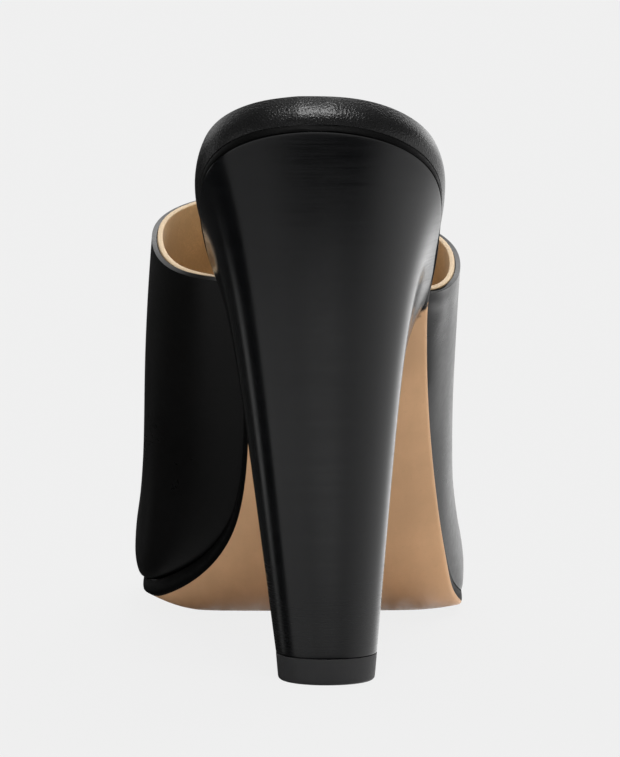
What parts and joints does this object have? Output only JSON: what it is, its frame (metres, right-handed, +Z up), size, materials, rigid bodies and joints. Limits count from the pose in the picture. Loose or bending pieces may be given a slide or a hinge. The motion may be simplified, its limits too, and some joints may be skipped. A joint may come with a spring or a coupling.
{
  "type": "high-heeled mule sandal",
  "caption": "Right-foot mule sandal with an open toe and back, a broad smooth vamp, a wrapped insole edge, a thin leather sole and a tall tapered column heel.",
  "frame": {"origin": "centre of the top lift's floor face, under the heel", "axes": "+Y from the heel to the toe along the foot, +X to the lateral (little toe) side, +Z up"},
  "size_m": [0.0749, 0.2, 0.1233],
  "materials": {
    "black_smooth_leather": "smooth calf, satin",
    "black_grained_leather": "fine grain, satin",
    "tan_lining_leather": "suede-like, matte",
    "cream_edge_leather": "raw cut edge, matte",
    "tan_sole_leather": "natural sole leather, matte",
    "black_edge_ink": "inked and burnished sole edge, satin",
    "black_stacked_leather": "stacked leather, polished gloss",
    "black_rubber": "matte"
  },
  "bodies": {
    "root": {"upper": "black_smooth_leather", "insole": "black_grained_leather", "sock_lining": "tan_lining_leather", "outsole": "tan_sole_leather", "heel": "black_stacked_leather", "top_lift": "black_rubber"}
  },
  "joints": []
}
